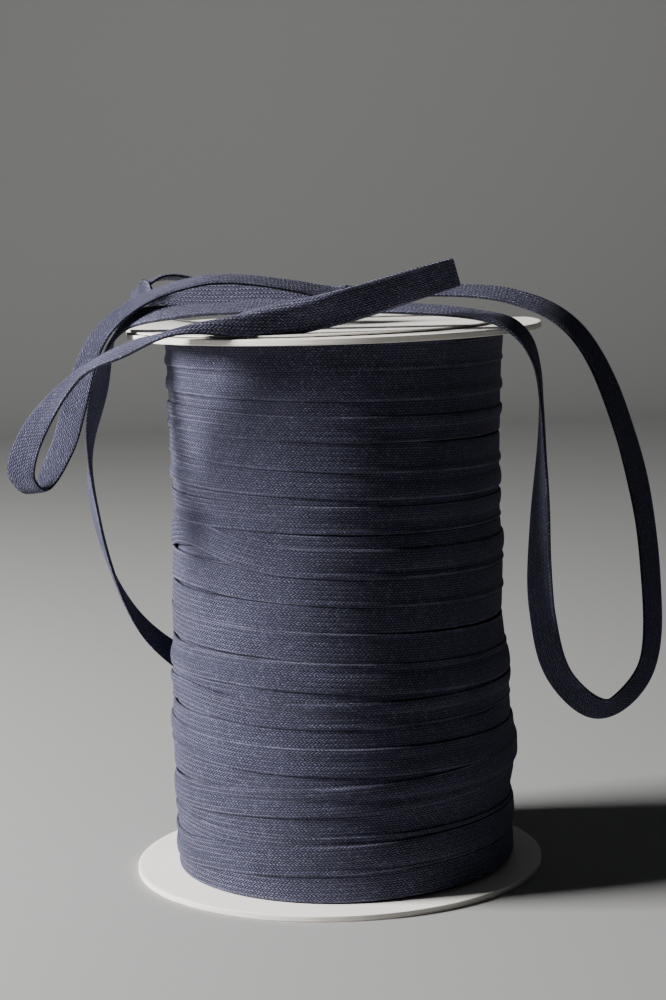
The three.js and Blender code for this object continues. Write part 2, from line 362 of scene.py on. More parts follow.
def crease(before_end):
    """How far the creased face falls back on both sides of a ridge that wanders from the lower
    edge to the upper one: the slope times a rounded distance from the ridge, less its mean."""
    share = (CREASE_FROM - before_end) / (CREASE_FROM - CREASE_TO)
    ridge = CORD_WIDTH / 2 * (1 - 2 * np.clip(share, 0, 1))
    fade = smooth_step(share * CREASE_RISE) * smooth_step((1 - share) * CREASE_FALL)
    slope = CREASE_SLOPE * fade
    away = np.sqrt((across[None, :] - ridge[:, None]) ** 2 + CREASE_ROUND**2)
    return -slope[:, None] * (away - away.mean(1, keepdims=True))


print("crease:", round((CREASE_FROM - CREASE_TO) * 1000), "mm long")

# %% [markdown]
# ## The loose end
# The section is carried along the route, with its play and its crease. A curve bevel would do
# for a plain ribbon, but not for a section that changes on its way. The first stretch still
# lies against the winding and is as narrow as the cord there. The cut end is a flat cap, a
# little aslant, as scissors leave it.

# %% Loose end
START_LENGTH = 30 * MM
START_SINK = 1.5 * MM
CUT_SLANT = math.tan(math.radians(7))
CUT_FADE = 14 * MM


def carried(line, width, face, along):
    """Points[row, column]: the line, plus the width times the offset across, plus the face's
    direction times the offset through and the cup, which grows with the square of the place
    across. The uneven width, twist and cup fade out at the first point."""
    start = np.clip(along / START_LENGTH, 0, 1)
    twist = TWIST_PLAY * slow_waves(along, *TWIST_WAVES) * start
    cup = CUP_PLAY * slow_waves(along, *CUP_WAVES) * start
    wide = 1 + WIDTH_PLAY * slow_waves(along, *WIDTH_WAVES) * start
    wide = wide - (1 - TURN_WIDTH / CORD_WIDTH) * (1 - start)
    turned_width = width * np.cos(twist)[:, None] + face * np.sin(twist)[:, None]
    turned_face = face * np.cos(twist)[:, None] - width * np.sin(twist)[:, None]
    sunk = START_SINK * (1 - smooth_step(start))
    line = line - face * sunk[:, None]
    before_end = along[-1] - along
    sideways = across[None, :] * wide[:, None]
    cupped = cup[:, None] * ((2 * across / CORD_WIDTH) ** 2 - CUP_LEVEL)[None, :]
    outwards = through[None, :] + cupped + crease(before_end)
    slant = CUT_SLANT * smooth_step(1 - before_end / CUT_FADE)[:, None] * across[None, :]
    heading = np.cross(face, width)
    return (line[:, None] + turned_width[:, None] * sideways[..., None]
            + turned_face[:, None] * outwards[..., None] + heading[:, None] * slant[..., None])


end_points = carried(end_line, end_width, end_face, end_along)
edge_there = np.abs(2 * across / CORD_WIDTH)
loose_end = grid_piece(
    "loose_end_braid", end_points, end_along, girth(across, through), edge_there)
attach(loose_end, "root")
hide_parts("loose_end")
print("loose end:", len(loose_end.data.polygons), "faces")

# %% [markdown]
# ## How the winding is laid
# On the real spool each turn lies on whatever was wound before it. Where it rides up on a
# neighbour's edge it tilts, and that is what gives the bundle its uneven bands, sharp shadows
# and bright edges. It could be sculpted as one skin, but the edges would blur. So the turns
# are laid one after another on a table of radii: the table starts as the bundle's own swell,
# each turn bridges what is under it, and then adds its thickness to the table.

# %% Tables of the winding
AXIS_X = 0.7 * MM
WINDING_FOOT = 2.3 * MM
WINDING_TOP = 183.7 * MM

# How the bundle swells: height, and radius on the left and on the right side
BODY = np.array([
    (2, 57.6, 57.8),
    (28, 57.4, 57.0),
    (38, 58.0, 59.2),
    (50, 58.0, 57.6),
    (70, 57.4, 57.0),
    (88, 56.8, 55.2),
    (106, 56.2, 56.0),
    (128, 54.6, 55.0),
    (150, 55.6, 55.8),
    (163, 55.2, 56.2),
    (174, 55.6, 56.8),
    (184, 56.0, 57.8),
]) * MM

# Outer turns from the top down. top and foot: edges at the front. lean: rise on the right side.
# layer: order of laying. sweep: how far the turn climbs away at the left, and where it does.
TURN_COLUMNS = ("top", "foot", "lean", "layer", "sweep", "sweep_at")
TURNS = [
    (183.7, 174.9, -1.4, 9, 0.0, 180),
    (175.4, 165.1, -1.5, 7, 0.0, 180),
    (168.0, 158.0, -2.0, 1, 0.0, 180),
    (160.5, 152.0, -2.0, 9, 0.6, 215),
    (152.4, 142.4, -3.0, 6, 0.8, 200),
    (143.4, 133.9, -2.8, 5, 0.0, 180),
    (138.0, 128.0, -2.2, 1, 0.0, 180),
    (131.6, 122.5, -2.0, 8, 0.0, 180),
    (122.3, 112.0, -1.6, 2, 3.0, 215),
    (118.1, 108.3, -2.5, 7, 6.0, 208),
    (109.4, 99.4, -3.2, 5, 1.0, 205),
    (99.7, 90.7, -2.8, 4, 0.0, 180),
    (90.9, 80.9, -3.4, 5, 0.0, 180),
    (81.2, 71.2, -3.0, 7, -1.0, 190),
    (76.0, 66.0, -1.5, 1, 0.0, 180),
    (68.4, 59.6, -0.6, 8, 2.5, 205),
    (59.9, 50.0, -1.0, 3, 0.0, 180),
    (53.7, 44.2, -1.4, 8, 1.0, 190),
    (48.0, 38.0, 0.6, 1, 0.0, 180),
    (34.0, 24.0, 0.8, 2, 0.0, 180),
    (24.6, 15.0, 0.6, 4, 1.5, 200),
    (21.6, 11.5, 2.2, 7, -2.0, 195),
    (12.0, 2.4, 1.2, 3, 0.0, 180),
]
turns = [dict(zip(TURN_COLUMNS, row)) for row in TURNS]
print(len(turns), "closed turns, and the last one that runs into the loose end")

# %% [markdown]
# The table of radii has a column for each direction and a row for each quarter millimetre of
# height. A turn looks up the radii under its width, takes a soft maximum of them, because a
# taut flat cord touches the high places and spans the low ones, and evens that out along its
# way. A tight turn also sinks a little into the soft ones below, so it settles back by part of
# its height above the bundle. Then it is written back into the table as the new surface.

# %% Laying a turn
COLUMNS = 256
ROW_STEP = 0.25 * MM
BED_DEPTH = 1.1 * MM
SPAN_HARDNESS = 2.2 / MM
SPAN_REACH = 1.4 * MM
SPAN_PLACES = 7
SMOOTHING_COLUMNS = 4
SETTLING = 0.42
COVERED = 0.985

azimuths = np.arange(COLUMNS) * 2 * math.pi / COLUMNS
heights = np.arange(WINDING_FOOT, WINDING_TOP + ROW_STEP / 2, ROW_STEP)


def body_radius(azimuth, z):
    """The bundle's radius: the left and right columns of the table at this height, blended by
    half of one plus the cosine of the direction."""
    left, right = (np.interp(z, BODY[:, 0], BODY[:, side]) for side in (1, 2))
    return left + (right - left) * (1 + np.cos(azimuth)) / 2


base = body_radius(azimuths[:, None], heights[None, :]) - BED_DEPTH
radii = base.copy()
print("table of radii:", radii.shape, "from", round(float(radii.min()) * 1000, 1), "mm")

# %% [markdown]
# Reading the table is a blend of its four nearest numbers. A library's interpolation would do
# it too, but the table wraps round the spool, so the columns are taken modulo their count.

# %% Reading the table


def look_up(azimuth, z):
    """The table's radius at directions and heights, linear between its columns and rows."""
    column = azimuth / (2 * math.pi) * COLUMNS
    row = np.clip((z - WINDING_FOOT) / ROW_STEP, 0, len(heights) - 1.001)
    c, r = np.floor(column).astype(int), np.floor(row).astype(int)
    s, t = column - c, row - r
    c0, c1 = c % COLUMNS, (c + 1) % COLUMNS
    near = radii[c0, r] * (1 - t) + radii[c0, r + 1] * t
    far = radii[c1, r] * (1 - t) + radii[c1, r + 1] * t
    return near * (1 - s) + far * s


def evened(values, reach, closed):
    """A running mean along the first axis, with triangular weights."""
    padded = np.concatenate([values[-reach:], values, values[:reach]]) if closed else np.pad(
        values, ((reach, reach), (0, 0)), mode="edge")
    offsets = range(2 * reach + 1)
    weights = [1 + reach - abs(k - reach) for k in offsets]
    total = sum(w * padded[k : k + len(values)] for k, w in zip(offsets, weights))
    return total / sum(weights)


# %% [markdown]
# The bed is what the cord lies on, and writing back is what the next turn finds there.

# %% Bed and table


def bed_under(azimuth, middle, half_width, places, closed):
    """Radius of the inner face at directions and places across: the soft maximum, which is the
    logarithm of the mean of exponentials, of the table's radii within a small reach, evened
    out along the cord."""
    z = middle[:, None] + half_width * places[None, :]
    reach = np.linspace(-1, 1, SPAN_PLACES) * SPAN_REACH
    near = look_up(azimuth[:, None, None], z[..., None] + reach)
    top = near.max(-1, keepdims=True)
    soft = np.log(np.exp((near - top) * SPAN_HARDNESS).mean(-1)) / SPAN_HARDNESS + top[..., 0]
    bundle = body_radius(azimuth[:, None], z) - BED_DEPTH
    return evened(soft - SETTLING * (soft - bundle), SMOOTHING_COLUMNS, closed)


def write_back(columns, middle, half_width, places, outer):
    """The table rows that the turn covers take its outer face's radius where that is higher."""
    across_rows = (heights[None, :] - middle[:, None]) / half_width
    inside = np.abs(across_rows) < COVERED
    at = np.clip((across_rows + 1) / 2, 0, 1) * (len(places) - 1)
    low = np.minimum(np.floor(at).astype(int), len(places) - 2)
    share = at - low
    row_index = np.arange(len(middle))[:, None]
    laid = outer[row_index, low] * (1 - share) + outer[row_index, low + 1] * share
    covered = np.where(inside, laid, 0)
    np.maximum.at(radii, columns, covered)


# %% [markdown]
# ## The height of a turn
# Hand-held winding wanders. A helix would be too even, so each turn has its own height, lean
# and sweep from the table, and a small wave at the back, where the photograph shows nothing.

# %% Height of a turn
SWEEP_SPREAD = 24
BACK_WAVE = 0.25 * MM


def turn_middle(turn, azimuth):
    """Height of a turn's middle: its height at the front, the lean as the cosine of the
    direction, a little unevenness, and the sweep as a smooth hump round its direction."""
    front = (turn["top"] + turn["foot"]) / 2 * MM
    aside = (np.degrees(azimuth) - turn["sweep_at"] + 180) % 360 - 180
    hump = np.exp(-((aside / SWEEP_SPREAD) ** 2)) * turn["sweep"] * MM
    wave = BACK_WAVE * np.sin(2 * azimuth + turn["foot"]) * (1 + np.sin(azimuth)) / 2
    middle = front + turn["lean"] * MM * np.cos(azimuth) + hump + wave
    half = (turn["top"] - turn["foot"]) / 2 * MM
    return np.clip(middle, WINDING_FOOT + half, WINDING_TOP - half)


# %% [markdown]
# ## Laying a ribbon
# Each turn is its own closed ribbon. Its outer face follows the bed under it plus the cord's
# thickness, with the same ribs and soft edges as the loose end, and its hidden inner face needs
# only a few points. A closed turn's map is stretched to a whole number of stitches, so the
# braid meets itself at the back.

# %% Ribbon on the bundle
EVEN_PLACES = np.linspace(-1, 1, 41)
TURN_ACROSS = across_places(25)
INNER_ACROSS = np.linspace(0.9, -0.9, 5)
BRAID_PITCH = 2.6 * MM


def whole_stitches(steps):
    """Steps round a closed turn, with the last step back to the start, scaled so that the
    whole way is a whole number of stitches."""
    stitches = round(steps[-1] / BRAID_PITCH)
    steps = np.append(steps, steps[-1] + steps[1])
    return steps * (stitches * BRAID_PITCH / steps[-1])


def ribbon_on_bundle(name, azimuth, middle, half_width, closed, sunk=0.0):
    """Lays one ribbon: bed, outer face and inner face as radii, then as points. The bed is
    looked up once on even places, which also update the table, and read from there for the
    mesh's own places. sunk is how far the cord lies under its neighbours at each direction."""
    bed = bed_under(azimuth, middle, half_width, EVEN_PLACES, closed) - sunk
    outer = bed + face_profile(EVEN_PLACES) + CORD_THICKNESS / 2
    columns = np.round(azimuth / (2 * math.pi) * COLUMNS).astype(int) % COLUMNS
    write_back(columns, middle, half_width, EVEN_PLACES, outer)

    def on_bed(places):
        at = (places + 1) / 2 * (len(EVEN_PLACES) - 1)
        low = np.minimum(np.floor(at).astype(int), len(EVEN_PLACES) - 2)
        return bed[:, low] * (1 - at + low) + bed[:, low + 1] * (at - low)

    outer_radius = on_bed(TURN_ACROSS) + face_profile(TURN_ACROSS) + CORD_THICKNESS / 2
    inner_radius = on_bed(INNER_ACROSS) + CORD_THICKNESS / 2 - face_profile(INNER_ACROSS)
    places = np.concatenate([TURN_ACROSS, INNER_ACROSS])
    radius = np.concatenate([outer_radius, inner_radius], 1)
    z = middle[:, None] + half_width * places[None, :]
    x = AXIS_X + radius * np.cos(azimuth)[:, None]
    y = radius * np.sin(azimuth)[:, None]
    points = np.stack([x, y, z], -1)
    profile = np.concatenate([face_profile(TURN_ACROSS), -face_profile(INNER_ACROSS)])
    around = girth(places * half_width, profile)
    steps = np.concatenate([[0], np.cumsum(np.linalg.norm(np.diff(
        points[:, len(TURN_ACROSS) // 2], axis=0), axis=1))])
    if closed:
        steps = whole_stitches(steps)
    piece = grid_piece(name, points, steps, around, np.abs(places), closed_along=closed)
    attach(piece, "root")
    return piece, bed


# %% [markdown]
# ## The turns below
# Where two outer turns part, the cord under them shows. Laying all the hidden turns would cost
# a lot for a few dark slits, so they are one drum with a groove at every turn.

# %% Deep turns
DEEP_PITCH = 9.1 * MM
DEEP_ROWS = 4
DEEP_GROOVE = 1.2
DEEP_CLEARANCE = 0.1 * MM
DEEP_INSIDE = 40 * MM


def deep_turns():
    """The cord that shows in the gaps between the outer turns: a closed drum of the bundle's
    own swell, drawn in at even steps of height where two turns meet. Its radius is the bed's
    plus the face profile of the place in each turn, and it closes below and above inside the
    bundle."""
    rows = heights[::DEEP_ROWS]
    place = (rows - WINDING_FOOT) / DEEP_PITCH
    swell = face_profile(2 * (place - np.floor(place)) - 1) - CORD_THICKNESS / 2
    radius = base[:, ::DEEP_ROWS] + swell[None, :] * DEEP_GROOVE - DEEP_CLEARANCE
    inside = np.full((COLUMNS, 1), DEEP_INSIDE)
    radius = np.concatenate([radius, inside, inside], 1)
    z = np.concatenate([rows, rows[-1:], rows[:1]])
    x = AXIS_X + radius * np.cos(azimuths)[:, None]
    y = radius * np.sin(azimuths)[:, None]
    points = np.stack([x, y, np.broadcast_to(z, x.shape)], -1)
    turn_length = 2 * math.pi * float(base.mean())
    along = np.linspace(0, round(turn_length / BRAID_PITCH) * BRAID_PITCH, COLUMNS + 1)
    around = np.append(z, z[:1]) - WINDING_FOOT
    piece = grid_piece("deep_turns", points, along, around, np.zeros(len(z)), closed_along=True)
    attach(piece, "root")
    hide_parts("winding")
    return piece


turn_pieces = [deep_turns()]
print("deep turns:", len(turn_pieces[0].data.polygons), "faces")

# %% [markdown]
# ## The outer turns
# The layer in the table gives the order: what was wound first lies lowest, and a later turn
# rides up on it. Turns of one layer are laid from the bottom up.

# %% Outer turns
for number in sorted(range(len(turns)), key=lambda k: (turns[k]["layer"], -k)):
    turn = turns[number]
    half = (turn["top"] - turn["foot"]) / 2 * MM
    middle = turn_middle(turn, azimuths)
    piece, _ = ribbon_on_bundle(f"turn_{number + 1:02d}", azimuths, middle, half, True)
    turn_pieces.append(piece)
print("turns:", len(turn_pieces), "radius up to", round(radii.max() * 1000, 1), "mm")

# %% [markdown]
# ## The last turn
# The last turn isn't closed. It starts low at the back left, under its neighbours, runs round
# the front with a slow climb to the right, and dips under the loose end at the back, where the
# cord leaves the bundle.

# %% Last turn
LAST_FROM, LAST_TO = math.radians(128), math.radians(360 + 102)
LAST_DEPTH = 3.2 * MM
LAST_RISE = math.radians(28)
LAST_DIP_DEPTH = 1.8 * MM
LAST_DIP = math.radians(8)
LAST_STEPS = 60
# Direction in degrees and height of its middle in millimetres
LAST_TURN = np.array([
    (128, 27.5), (160, 29.5), (190, 31.6), (230, 34.2), (270, 36.2),
    (310, 38.2), (350, 40.6), (390, 43.0), (425, 44.9), (454, 47.0), (462, 47.8),
])
last_azimuth = np.arange(LAST_FROM, LAST_TO, 2 * math.pi / COLUMNS)
last_azimuth = np.append(last_azimuth[:-1], LAST_TO)
last_middle = smooth_through(LAST_TURN, LAST_STEPS, EVEN)
last_middle = np.interp(np.degrees(last_azimuth), last_middle[:, 0], last_middle[:, 1]) * MM
came_up = smooth_step((last_azimuth - LAST_FROM) / LAST_RISE)[:, None]
dips = smooth_step((last_azimuth - LAST_TO) / LAST_DIP + 1)[:, None]
last_turn, last_bed = ribbon_on_bundle(
    "turn_last", last_azimuth, last_middle, TURN_WIDTH / 2, False,
    LAST_DEPTH * (1 - came_up) + LAST_DIP_DEPTH * dips)
turn_pieces.append(last_turn)
print("last turn ends at radius", round(float(last_bed[-1].mean()) * 1000, 2), "mm")

# %% [markdown]
# ## Card discs
# The flanges are discs of two-millimetre cream board, and a thinner disc is glued on the top
# one, a little to the left. The top flange's rim has curled up at the back left, and the thin
# disc follows it. A bend modifier would tip the whole disc, so the lift is a formula of the
# place: nothing in the middle, and most at the rim in the curl's own direction.

# %% Disc sizes and curl
FLANGE_RADIUS = 70 * MM
FLANGE_THICKNESS = 2 * MM
FLANGE_SHIFT = 1.6 * MM
TOP_FLANGE_Z = 184 * MM
FACING_RADIUS = 61 * MM
FACING_THICKNESS = 0.5 * MM
FACING_CLEARANCE = 0.4 * MM
FACING_MIDDLE = (-6 * MM, -1.5 * MM)
CURL_HEIGHT = 3.5 * MM
CURL_START = 46 * MM
CURL_AZIMUTH = 165
CURL_HALF_ANGLE = 26


def curl(x, y):
    """Lift of the card at a point: a smooth step from the start radius to the rim, times the
    square of a cosine that fades out to both sides of the curl's direction."""
    radius = np.hypot(x - FLANGE_SHIFT, y)
    rise = smooth_step((radius - CURL_START) / (FLANGE_RADIUS - CURL_START))
    aside = (np.degrees(np.arctan2(y, x - FLANGE_SHIFT)) - CURL_AZIMUTH + 180) % 360 - 180
    fade = np.cos(np.minimum(np.abs(aside) / CURL_HALF_ANGLE, 1) * math.pi / 2)
    return CURL_HEIGHT * rise * fade**2


# %% [markdown]
# A cylinder would have knife-sharp edges. A bevel could round them, but the cut wall is also a
# little ragged, so each disc is a profile of radius and height, with soft corners, carried
# round the axis. The wall is drawn in where the board is worn, and it is marked for the finish.

# %% Disc profile
DISC_COLUMNS = 320
# Shares of the radius: a few wide rings, then close ones towards the curled rim
RINGS = np.append(np.linspace(0, 0.6, 4)[1:], np.linspace(0.66, 0.98, 9))
CORNER_POINTS, WALL_POINTS = 4, 5
FLANGE_CORNER = 0.25 * MM
FACING_CORNER = 0.12 * MM
WALL_FROM = 0.97
WORN_DEPTH = 0.12 * MM
WORN_EVERYWHERE = 0.06 * MM
WALL_MARGIN = 0.05 * MM
CUT_EDGE = "cut_edge"
RAGGED_WAVES = ((0.37, 0.21, 0.113), (0.5, 2.1, 3.3))
WORN_WAVES = ((1.9, 0.83), (1.1, 4.0))


def disc_profile(radius, thickness, corner):
    """Radius and height of the section from the middle of the underside, round the wall, to
    the middle of the top: even rings, then a quarter circle at each corner."""
    flat = RINGS * (radius - corner)
    turn = np.linspace(0, math.pi / 2, CORNER_POINTS)
    low = np.stack([radius - corner + corner * np.sin(turn), corner - corner * np.cos(turn)], -1)
    wall = np.linspace(corner, thickness - corner, WALL_POINTS)[1:-1]
    side = np.stack([np.full(len(wall), radius), wall], -1)
    high = np.stack([low[::-1, 0], thickness - low[::-1, 1]], -1)
    under = np.stack([flat, np.zeros(len(flat))], -1)
    over = np.stack([flat[::-1], np.full(len(flat), thickness)], -1)
    return np.concatenate([under, low, side, high, over])


def worn_wall(angle):
    """How far the wall stands out at each angle, or in where it is below zero: fine waves, and
    only where slow ones are above zero."""
    ragged = slow_waves(angle, *RAGGED_WAVES)
    return WORN_DEPTH * (ragged * np.maximum(slow_waves(angle, *WORN_WAVES), 0))


print("disc profile:", 2 * (len(RINGS) + CORNER_POINTS) + WALL_POINTS - 2, "points")

# %% [markdown]
# The profile is carried round, and a fan of triangles closes it in the middle of each face.

# %% Discs


def disc_piece(name, radius, thickness, corner, middle, z, curled):
    """A disc: its profile carried round, the wall drawn in here and there by a few tenths of a
    millimetre where the board is worn, closed with a fan at both middles."""
    profile = disc_profile(radius, thickness, corner)
    angle = np.arange(DISC_COLUMNS) * 2 * math.pi / DISC_COLUMNS
    wall = np.clip((profile[:, 0] / radius - WALL_FROM) / (1 - WALL_FROM), 0, 1)
    worn = worn_wall(angle)[None, :] - WORN_EVERYWHERE
    ring = profile[:, 0][:, None] + worn * wall[:, None]
    x = middle[0] + ring * np.cos(angle)
    y = middle[1] + ring * np.sin(angle)
    lift = curl(x, y) if curled else np.zeros_like(x)
    points = np.stack([x, y, z + profile[:, 1][:, None] + lift], -1)
    rows = len(profile)
    index = wrapped(np.arange(rows * DISC_COLUMNS).reshape(rows, -1).T, True).T
    quads = np.stack([index[:-1, :-1], index[:-1, 1:], index[1:, 1:], index[1:, :-1]], -1)
    first, last = rows * DISC_COLUMNS, rows * DISC_COLUMNS + 1
    fans = [[first, b, a] for a, b in zip(index[0, :-1], index[0, 1:])]
    fans += [[last, a, b] for a, b in zip(index[-1, :-1], index[-1, 1:])]
    poles = [(middle[0], middle[1], z), (middle[0], middle[1], z + thickness)]
    mesh = bpy.data.meshes.new(name)
    mesh.from_pydata(np.concatenate([points.reshape(-1, 3), poles]), [],
                     quads.reshape(-1, 4).tolist() + fans)
    on_wall = (profile[:, 1] > WALL_MARGIN) & (profile[:, 1] < thickness - WALL_MARGIN)
    cut = np.concatenate([np.repeat(wall * on_wall, DISC_COLUMNS), [0, 0]])
    piece = finished(name, mesh, CUT_EDGE, cut)
    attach(piece, "root")
    return piece


bottom_disc = disc_piece("flange_bottom_board", FLANGE_RADIUS, FLANGE_THICKNESS, FLANGE_CORNER,
                         (-FLANGE_SHIFT, 0), 0, False)
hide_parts("flange_bottom")
top_disc = disc_piece("flange_top_board", FLANGE_RADIUS, FLANGE_THICKNESS, FLANGE_CORNER,
                      (FLANGE_SHIFT, 0), TOP_FLANGE_Z, True)
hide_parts("flange_top")
facing_z = TOP_FLANGE_Z + FLANGE_THICKNESS + FACING_CLEARANCE
facing_disc = disc_piece("top_facing_card", FACING_RADIUS, FACING_THICKNESS, FACING_CORNER,
                         FACING_MIDDLE, facing_z, True)
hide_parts("top_facing")
print("discs:", [len(d.data.polygons) for d in (bottom_disc, top_disc, facing_disc)])

# %% [markdown]
# ## Materials as expressions
# A shader is arithmetic on values that change over the surface. Wiring each Math node by hand
# hides the formula, so a value wraps a socket and adds the node when two values are combined.

# %% Shader maths


class Value:
    """A number or colour that changes over the surface. Arithmetic on it adds Math nodes."""

    def __init__(self, tree, socket):
        self.tree = tree
        self.socket = socket

    def node(self, kind, settings=None, output=0, **sockets):
        """Adds a node: its settings first, then the values or links of its sockets."""
        return add_node(self.tree, kind, settings, output, **sockets)

    def math(self, operation, *others):
        node = self.tree.nodes.new("ShaderNodeMath")
        node.operation = operation
        for socket, value in zip(node.inputs, (self, *others)):
            feed(self.tree, socket, value)
        return Value(self.tree, node.outputs[0])

    def __add__(self, other):
        return self.math("ADD", other)

    def __sub__(self, other):
        return self.math("SUBTRACT", other)

    def __mul__(self, other):
        return self.math("MULTIPLY", other)

    def __truediv__(self, other):
        return self.math("DIVIDE", other)

    def __pow__(self, other):
        return self.math("POWER", other)

    def __rsub__(self, other):
        return self.math("MULTIPLY", -1).math("ADD", other)

    def __rtruediv__(self, other):
        return self.math("POWER", -1).math("MULTIPLY", other)

    __radd__ = __add__
    __rmul__ = __mul__

    def clamp(self):
        return self.math("MAXIMUM", 0).math("MINIMUM", 1)


# %% [markdown]
# These helpers make a node, set its options and give its sockets plain values or links. A
# socket is found by the name that the editor shows.

# %% Nodes and sockets


def feed(tree, socket, value):
    """Links a value into a socket, or sets the socket to a plain number or colour."""
    if isinstance(value, Value):
        tree.links.new(value.socket, socket)
    else:
        socket.default_value = value


def add_node(tree, kind, settings=None, output=0, **sockets):
    """One node of any kind. A socket's name is written with underscores for its spaces, and
    stops sets a ramp's places and colours."""
    node = tree.nodes.new(kind)
    settings = dict(settings or {})
    stops = settings.pop("stops", None)
    for name, value in settings.items():
        setattr(node, name, value)
    if stops:
        ramp = node.color_ramp.elements
        while len(ramp) < len(stops):
            ramp.new(0.5)
        for element, (place, colour) in zip(ramp, stops):
            element.position = place
            element.color = (*colour, 1)
    for name, value in sockets.items():
        feed(tree, find_socket(node, name), value)
    return Value(tree, node.outputs[output])


def find_socket(node, name):
    """The enabled input socket with this name, or at this number after an underscore."""
    if name.startswith("_"):
        return node.inputs[int(name[1:])]
    plain = name.replace("_", " ")
    return next(s for s in node.inputs if s.enabled and s.name == plain)


def mixed(factor, first, second):
    """The first colour where the factor is 0 and the second where it is 1."""
    return factor.node("ShaderNodeMix", {"data_type": "RGBA"}, 2, _0=factor, _6=first, _7=second)


# %% [markdown]
# Each material is one Principled shader whose colour, roughness and normal vary. The fine
# relief is a Bump node, because geometry for each stitch would be millions of faces.

# %% Material frame


def noise(here, scale, detail):
    """A noise from 0 to 1 in the object's own space: how fine it is, and its finer layers."""
    return here.node("ShaderNodeTexNoise", None, 0, Vector=here, Scale=scale, Detail=detail)


def new_material(name):
    """A material with an empty Principled shader."""
    material = bpy.data.materials.new(name)
    material.use_nodes = True
    return material, material.node_tree, material.node_tree.nodes["Principled BSDF"]


def finish_material(tree, shader, colour, roughness, bump, depth, strength=1.0):
    """Feeds the shader's varying sockets, with the height field through one Bump node."""
    feed(tree, shader.inputs["Base Color"], colour)
    feed(tree, shader.inputs["Roughness"], roughness)
    normal = add_node(tree, "ShaderNodeBump", None, 0, Height=bump, Distance=depth,
                      Strength=strength)
    feed(tree, shader.inputs["Normal"], normal)


# %% [markdown]
# ## The braid
# Close to, the cord is rows of small slanted stitches like grains of rice, leaning one way in
# one row and the other way in the next, with lint and worn fibres that catch the light. The
# stitches follow the cord, so they are worked out from its own map: a row number and a place in
# it from the distance round the cord, a phase from the distance along it, shifted by the slant.
# The mesh's own edge number gives each turn a worn, lighter rim and a painted shadow line at its
# very edge, where it meets its neighbour.

# %% Braid material
ROW_WIDTH = 0.80 * MM
BRAID_RELIEF = 0.42 * MM
# How fine the noises are: waver of the rows, single fibres, faded patches, lint
WANDER_SCALE, FIBRE_SCALE, PATCH_SCALE, LINT_SCALE = 420.0, 2600.0, 60.0, 950.0
# The darkest colour, also used as painted shade in the stitch hollows and at the cord's edges
CORD_DARK = (0.004, 0.0045, 0.011)
CORD_MAIN = (0.078, 0.080, 0.150)
CORD_WORN = (0.30, 0.31, 0.46)
SHEEN, SHEEN_ROUGHNESS, SHEEN_TINT = 0.22, 0.4, (0.72, 0.72, 1.0)
CORD_SPECULAR = 0.25
# Where the worn rim starts and stops and where the painted edge shade starts, from 0 to 1 across
RIM_FROM, RIM_TO, EDGE_SHADE_FROM = 0.84, 0.95, 0.935


def braid_material():
    """Height of a stitch: a half sine across its row times a raised sine along it, whose phase
    leans to the left in even rows and to the right in odd rows."""
    material, tree, shader = new_material("braid")
    place = add_node(tree, "ShaderNodeUVMap", {"uv_map": CORD_MAP})
    along = place.node("ShaderNodeSeparateXYZ", None, 0, Vector=place)
    around = place.node("ShaderNodeSeparateXYZ", None, 1, Vector=place)
    here = add_node(tree, "ShaderNodeTexCoord", None, 3)
    wander = noise(here, WANDER_SCALE, 1.0)
    rows = around / ROW_WIDTH + (wander - 0.5) * 0.5
    row_place = rows.math("FRACT")
    odd = (rows.math("FLOOR") * 0.5).math("FRACT") * 2
    lean = (odd * 2 - 1) * (row_place - 0.5) * 0.9
    phase = along / (BRAID_PITCH / 2) + lean + odd * 0.5 + (wander - 0.5) * 0.8
    crest = (phase * (2 * math.pi)).math("SINE") * 0.5 + 0.5
    ridge = (row_place * math.pi).math("SINE").math("MAXIMUM", 0.0) ** 0.6
    stitch = (crest ** 0.8) * ridge
    fibre = noise(here, FIBRE_SCALE, 2.0)
    patch = noise(here, PATCH_SCALE, 3.0)
    lint = noise(here, LINT_SCALE, 2.0)
    edge = add_node(tree, "ShaderNodeAttribute", {"attribute_name": EDGE_WEAR_AND_SHADE}, 2)
    rim = ((edge - RIM_FROM) * 12).clamp() * ((RIM_TO - edge) * 40).clamp()
    rim = rim * ((patch - 0.42) * 5).clamp()
    worn = (((lint - 0.50) * 5).clamp() * stitch * 0.45 + rim * (0.15 + lint * 0.5)).clamp()
    # Painted shade: the colour goes dark at the cord's very edge, where each turn meets its neighbour
    painted_edge_shade = ((edge - EDGE_SHADE_FROM) * 24).clamp()
    # Painted shade in the hollows between stitches and painted highlight on their crests, from the
    # stitch height; the fibre and patch noises are the cord's own uneven tone
    tone_and_painted_shade = (stitch * 1.15 + (fibre - 0.5) * 0.9 + (patch - 0.5) * 0.6 - 0.08 - painted_edge_shade).clamp()
    base_colour = mixed(tone_and_painted_shade, (*CORD_DARK, 1), (*CORD_MAIN, 1))
    colour = mixed(worn, base_colour, (*CORD_WORN, 1))
    height = stitch + fibre * 0.35
    finish_material(tree, shader, colour, 0.82 + (fibre - 0.5) * 0.2, height, BRAID_RELIEF)
    shader.inputs["Sheen Weight"].default_value = SHEEN
    shader.inputs["Sheen Roughness"].default_value = SHEEN_ROUGHNESS
    shader.inputs["Sheen Tint"].default_value = (*SHEEN_TINT, 1)
    shader.inputs["Specular IOR Level"].default_value = CORD_SPECULAR
    return material


braid = braid_material()
for piece in (loose_end, *turn_pieces):
    piece.data.materials.append(braid)
print("braid:", len(braid.node_tree.nodes), "nodes on", 1 + len(turn_pieces), "pieces")

# %% [markdown]
# ## The card
# Both faces are smooth warm-white paper with faint fibres and mottling. The cut wall shows the
# board's cream layers, so a number stored on the mesh tells the wall from the faces, and
# a noise stretched along the wall gives the layers.

